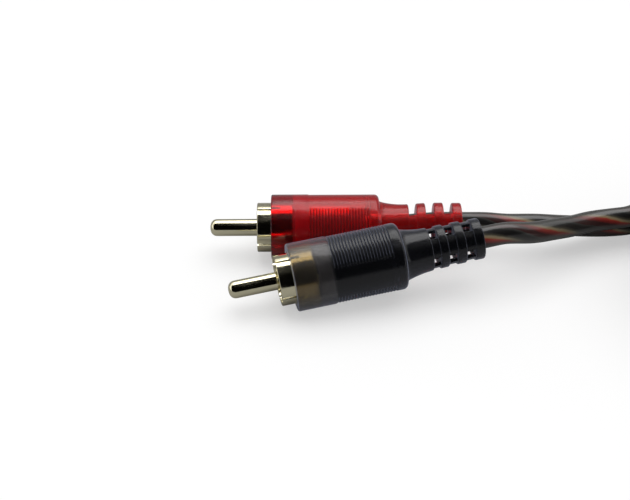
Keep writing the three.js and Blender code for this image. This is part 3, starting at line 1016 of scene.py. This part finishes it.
# %% The plating
def plating():
    finish, tree, shader = new_finish("gold_plating")
    place = node(tree, "ShaderNodeTexCoord")
    along = node(tree, "ShaderNodeMapping")
    along.inputs["Scale"].default_value = (1, 9, 9)
    tree.links.new(place.outputs["Object"], along.inputs["Vector"])
    rub = node(tree, "ShaderNodeTexNoise", Scale=900.0, Detail=4.0, Roughness=0.65)
    tree.links.new(along.outputs["Vector"], rub.inputs["Vector"])
    smear = noise(tree, Scale=350.0, Detail=2.0)
    both = arithmetic(tree, "MULTIPLY", rub.outputs["Fac"], smear)
    glossed(tree, shader, both, 0.06, 0.2, From_Min=0.15, From_Max=0.45)
    tint = mixed(tree, smear, (0.86, 0.80, 0.55), (0.90, 0.85, 0.63))
    tree.links.new(tint, shader.inputs["Base Color"])
    bumped(tree, shader, rub.outputs["Fac"], 0.08, 0.00002)
    shader.inputs["Metallic"].default_value = 1.0
    return finish


GOLD = plating()


# %% [markdown]
# ## Opaque mouldings and skins
#
# The insulator is black nylon, and the two wires inside have plain coloured skins. They differ
# only in colour, gloss and grain, so one recipe makes all. The inner mould changes along the plug
# from a plastic front to a plated barrel, so it reads the distance that was stored in its mesh.

# %% Plain mouldings
BARREL_END = 14.4


def moulding(name, deep, light, roughness):
    finish, tree, shader = new_finish(name)
    mottle = grained(tree, shader, 4200.0, 500.0, 0.25, 0.00005)
    tree.links.new(mixed(tree, mottle, deep, light), shader.inputs["Base Color"])
    glossed(tree, shader, mottle, roughness - 0.06, roughness + 0.06)
    return finish


def mould_with_barrel(name, front, rear, barrel):
    """The inner mould: a pale front, then the plated crimp barrel's shine, or a dark rear."""
    finish, tree, shader = new_finish(name)
    tint = along_plug(tree, [(BAND_SHARE - 0.2, front), (BAND_SHARE, rear)])
    tree.links.new(tint, shader.inputs["Base Color"])
    shine = along_plug(tree, [
        (BAND_SHARE - 0.2, (0, 0, 0)), (BAND_SHARE, (barrel,) * 3),
        (BARREL_END, (barrel,) * 3), (BARREL_END + 0.2, (0, 0, 0)),
    ])
    tree.links.new(shine, shader.inputs["Metallic"])
    shader.inputs["Roughness"].default_value = 0.25
    return finish


PALE_CORE = mould_with_barrel("inner_mould", (0.60, 0.50, 0.42), (0.72, 0.60, 0.45), 1.0)
DARK_CORE = mould_with_barrel("inner_mould_dark", (0.42, 0.41, 0.39), (0.006, 0.006, 0.007), 0.0)
BLACK_NYLON = moulding("black_insulator", (0.012, 0.012, 0.013), (0.022, 0.021, 0.022), 0.4)
RED_SKIN = moulding("red_wire_skin", (0.32, 0.02, 0.015), (0.45, 0.04, 0.03), 0.4)
DARK_SKIN = moulding("dark_wire_skin", (0.012, 0.012, 0.013), (0.03, 0.03, 0.03), 0.4)


# %% [markdown]
# ## The cable's jacket
#
# The cable is a clear smoky jacket over a red and a dark wire that are twisted together. From
# outside they show as long slanting stripes: a red one with a pale tan edge, which is painted
# highlight, and a black one. The stripes are drawn from the cable's own UV, where a slant is U less
# V. Their edges wander a little, and the stripes fade into smoke where the jacket is seen edge on,
# as its thickness hides them there.

# %% The jacket finish
STRIPE_PHASE = -0.1
STRIPE_WANDER = 0.16


def jacket():
    finish, tree, shader = new_finish("cable_jacket")
    uv = node(tree, "ShaderNodeUVMap", uv_map="cable")
    split = node(tree, "ShaderNodeSeparateXYZ")
    tree.links.new(uv.outputs["UV"], split.inputs["Vector"])
    around = arithmetic(tree, "MULTIPLY", split.outputs["X"], float(STRIPE_STARTS))
    along = arithmetic(tree, "MULTIPLY", split.outputs["Y"], 1 / (STRIPE_PITCH * MM))
    wander = noise(tree, Scale=260.0, Detail=3.0, Roughness=0.6)
    shake = arithmetic(tree, "MULTIPLY", wander, STRIPE_WANDER)
    slant = arithmetic(tree, "ADD", arithmetic(tree, "SUBTRACT", around, along), STRIPE_PHASE)
    turn = arithmetic(tree, "FRACT", arithmetic(tree, "ADD", slant, shake), 0.0)
    # The pale tan stops just before the red are a painted highlight along the red wire's edge.
    stripes_and_painted_highlight = ramp(tree, turn, [
        (0.00, (0.035, 0.033, 0.030)), (0.12, (0.004, 0.004, 0.004)), (0.28, (0.006, 0.005, 0.005)),
        (0.38, (0.050, 0.045, 0.030)), (0.45, (0.22, 0.18, 0.11)), (0.52, (0.26, 0.16, 0.08)),
        (0.57, (0.27, 0.028, 0.016)), (0.70, (0.15, 0.008, 0.007)), (0.80, (0.03, 0.005, 0.005)),
    ])
    streaks = noise(tree, Scale=1500.0, Detail=3.0)
    smoke = mixed(tree, streaks, (0.030, 0.029, 0.027), (0.055, 0.053, 0.048))
    edge = node(tree, "ShaderNodeLayerWeight", Blend=0.35)
    thick = node(tree, "ShaderNodeMapRange", From_Min=0.1, From_Max=0.45, To_Min=0.08)
    tree.links.new(edge.outputs["Facing"], thick.inputs["Value"])
    colour = mixed(tree, thick.outputs["Result"], stripes_and_painted_highlight, smoke)
    tree.links.new(colour, shader.inputs["Base Color"])
    bumped(tree, shader, streaks, 0.2, 0.00006)
    shader.inputs["Roughness"].default_value = 0.42
    shader.inputs["Specular IOR Level"].default_value = 0.12
    shader.inputs["Coat Weight"].default_value = 1.0
    shader.inputs["Coat Roughness"].default_value = 0.2
    return finish


JACKET = jacket()


# %% [markdown]
# ## The strap
#
# The hank is held by a short black woven strap. Its weave is two crossed waves, one over the other
# like a brick bond, which drive the bumps and paint shade into the gaps between the yarns.

# %% The strap's weave
def strap_weave():
    finish, tree, shader = new_finish("strap_weave")
    place = node(tree, "ShaderNodeTexCoord")
    wide = node(tree, "ShaderNodeTexWave", Scale=420.0, Distortion=0.4, bands_direction="X")
    high = node(tree, "ShaderNodeTexWave", Scale=420.0, Distortion=0.4, bands_direction="DIAGONAL")
    for wave in (wide, high):
        tree.links.new(place.outputs["Object"], wave.inputs["Vector"])
    weave = arithmetic(tree, "MULTIPLY", wide.outputs["Fac"], high.outputs["Fac"])
    # Painted shade: the colour is darker where the weave is low, in its gaps.
    colour = mixed(tree, weave, (0.008, 0.008, 0.009), (0.035, 0.034, 0.036))
    tree.links.new(colour, shader.inputs["Base Color"])
    bumped(tree, shader, weave, 0.6, 0.0002)
    shader.inputs["Roughness"].default_value = 0.85
    return finish


STRAP = strap_weave()
print("materials:", sorted(material.name for material in bpy.data.materials))

# %% [markdown]
# ## Giving each piece its finish
#
# The fine pieces get their finish by what they are. The wires inside the plugs and the strap are
# the solid model's own pieces, so their finishes go into the slots they already have.

# %% Finishes on pieces
def wear(piece, finish):
    piece.data.materials.clear()
    piece.data.materials.append(finish)


def wear_node(name, finish):
    for slot in bpy.data.objects[name].material_slots:
        slot.material = finish


for (plug, part), piece in made.items():
    is_red = plug.endswith("red")
    finishes = {
        "hood": RED_VINYL if is_red else SMOKE_VINYL, "ground_shell": GOLD, "center_pin": GOLD,
        "pin_insulator": BLACK_NYLON, "inner_mould": PALE_CORE if is_red else DARK_CORE,
    }
    wear(piece, finishes[part])
for plug in PLUGS:
    wear_node(f"{plug}_signal_wire", RED_SKIN)
    wear_node(f"{plug}_ground_wire", DARK_SKIN)
wear_node("hank_strap", STRAP)
for cable in cables.values():
    wear(cable, JACKET)
print("dressed:", len(made) + len(cables), "new pieces")

# %% [markdown]
# ## The cables' far ends
#
# For each cable, the far plug's pieces and wires are gathered, and the cable's length is printed.

# %% The cables' facts
for colour, line in routes.items():
    far_pieces = [piece for (plug, part), piece in made.items() if plug == f"far_{colour}"]
    far_pieces += [bpy.data.objects[f"far_{colour}_{wire}_wire"] for wire in ("signal", "ground")]
    print(colour, "cable declared:", round(line_length(line), 3), "m")

# %% [markdown]
# ## Table, light and surroundings
#
# The lead lies on a white table under a broad soft light from above and behind. The picture's
# background is pure white, so the table adds a little glow of its own where the camera sees it, and
# keeps the soft shadow. The room is white for reflections too, but polished metal needs something
# dark to mirror. A black card hangs in front of the plugs, a grey sheet covers the table, and a
# grey card stands behind. Only reflections, and light on its way through the vinyl, see them.

# %% The stage
TABLE_ALBEDO = 0.5
TABLE_GLOW = 0.47
ROOM_LIGHT = 0.5
SUN_STRENGTH = 1.9
SUN_SPREAD = 70
SUN_TILT = (-12, 6, 0)
BLACK_CARD_HEIGHT = 46  # degrees above the table, seen from the plugs
BLACK_CARD_DISTANCE = 0.36


def seen_by(tree, *kinds):
    """One where a ray is of any of these kinds, and nought elsewhere."""
    rays = node(tree, "ShaderNodeLightPath")
    seen = rays.outputs[f"Is {kinds[0]} Ray"]
    for kind in kinds[1:]:
        seen = arithmetic(tree, "MAXIMUM", seen, rays.outputs[f"Is {kind} Ray"])
    return seen


def add_table():
    choose_nothing()
    bpy.ops.mesh.primitive_plane_add(size=6)
    table = bpy.context.object
    table.name = "table"
    finish, tree, shader = new_finish("table_white")
    shader.inputs["Base Color"].default_value = (*[TABLE_ALBEDO] * 3, 1)
    shader.inputs["Roughness"].default_value = 0.9
    shader.inputs["Specular IOR Level"].default_value = 0.0
    shader.inputs["Emission Color"].default_value = (1, 1, 1, 1)
    glow = arithmetic(tree, "MULTIPLY", seen_by(tree, "Camera", "Transmission"), TABLE_GLOW)
    tree.links.new(glow, shader.inputs["Emission Strength"])
    wear(table, finish)


def add_card(name, size, turn, place, shade):
    """A card for reflections: its size, its turn in degrees, its middle and its grey."""
    choose_nothing()
    bpy.ops.mesh.primitive_plane_add(size=1)
    card = bpy.context.object
    card.name = name
    card.scale = (*size, 1)
    card.rotation_euler = [math.radians(angle) for angle in turn]
    card.location = place
    finish, tree, shader = new_finish(name)
    shader.inputs["Base Color"].default_value = (*[shade] * 3, 1)
    shader.inputs["Specular IOR Level"].default_value = 0.0
    wear(card, finish)
    card.visible_camera = False
    card.visible_diffuse = False
    card.visible_shadow = False
    card.visible_volume_scatter = False


def add_room():
    world = bpy.data.worlds.new("room")
    bpy.context.scene.world = world
    world.use_nodes = True
    tree = world.node_tree
    back = tree.nodes["Background"]
    back.inputs["Color"].default_value = (1, 1, 1, 1)
    strength = node(tree, "ShaderNodeMapRange", To_Min=ROOM_LIGHT)
    seen = seen_by(tree, "Camera", "Glossy", "Transmission")
    tree.links.new(seen, strength.inputs["Value"])
    tree.links.new(strength.outputs["Result"], back.inputs["Strength"])
    bpy.ops.object.light_add(type="SUN", rotation=[math.radians(angle) for angle in SUN_TILT])
    sun = bpy.context.object
    sun.data.energy = SUN_STRENGTH
    sun.data.angle = math.radians(SUN_SPREAD)


add_table()
height = math.radians(BLACK_CARD_HEIGHT)
toward = Vector((0, -math.cos(height), math.sin(height)))
black_card_place = on_axis("red", 0) + toward * BLACK_CARD_DISTANCE
add_card("black_card", (1.6, 0.88), (90 - BLACK_CARD_HEIGHT, 0, 0), black_card_place, 0.003)
add_card("grey_sheet", (2.4, 2.4), (0, 0, 0), (0, 0, 0.00002), 0.30)
add_card("grey_back_card", (3.0, 0.42), (90, 0, 0), (0, 0.6, 0.2), 0.42)
add_room()
bpy.context.scene.view_settings.view_transform = "Standard"
